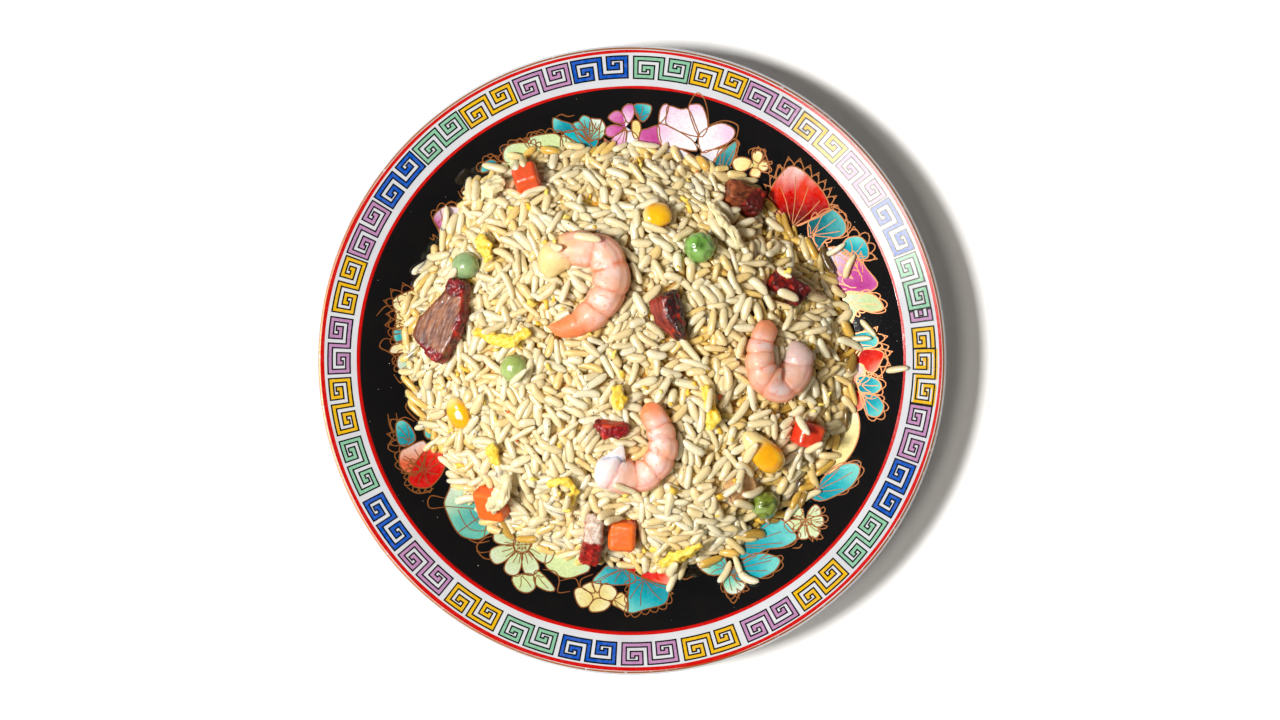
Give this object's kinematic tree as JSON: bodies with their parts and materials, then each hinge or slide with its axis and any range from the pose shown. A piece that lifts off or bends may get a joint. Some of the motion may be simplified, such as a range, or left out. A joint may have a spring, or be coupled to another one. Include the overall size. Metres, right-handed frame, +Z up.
{
  "type": "fried rice plate",
  "caption": "Round shallow porcelain plate on a foot ring, holding a low uneven heap of fried rice with shrimps, roast pork, peas, corn, carrot and egg.",
  "frame": {"origin": "centre of the plate's foot ring, on the table", "axes": "+Z up along the plate's axis; +X to the right and +Y away from the diner, seen from above"},
  "size_m": [0.204, 0.204, 0.0442],
  "materials": {
    "porcelain": "gloss",
    "rice": "satin",
    "shrimp": "satin",
    "pork": "satin",
    "carrot": "satin",
    "pea": "gloss",
    "corn": "gloss",
    "egg": "satin",
    "egg_white": "satin"
  },
  "bodies": {
    "root": {"plate": "porcelain", "rice_heap": "rice", "shrimp_1": "shrimp", "shrimp_2": "shrimp", "shrimp_3": "shrimp", "roast_pork_1": "pork", "roast_pork_2": "pork", "roast_pork_3": "pork", "roast_pork_4": "pork", "roast_pork_5": "pork", "roast_pork_6": "pork", "pork_slice": "pork", "carrot_1": "carrot", "carrot_2": "carrot", "carrot_3": "carrot", "carrot_4": "carrot", "pea_1": "pea", "pea_2": "pea", "pea_3": "pea", "pea_4": "pea", "corn_1": "corn", "corn_2": "corn", "corn_3": "corn", "egg_1": "egg", "egg_2": "egg", "egg_3": "egg", "egg_4": "egg", "egg_5": "egg", "egg_6": "egg", "egg_7": "egg", "egg_white_1": "egg_white", "egg_white_2": "egg_white", "chicken_shred": "egg_white"}
  },
  "joints": []
}
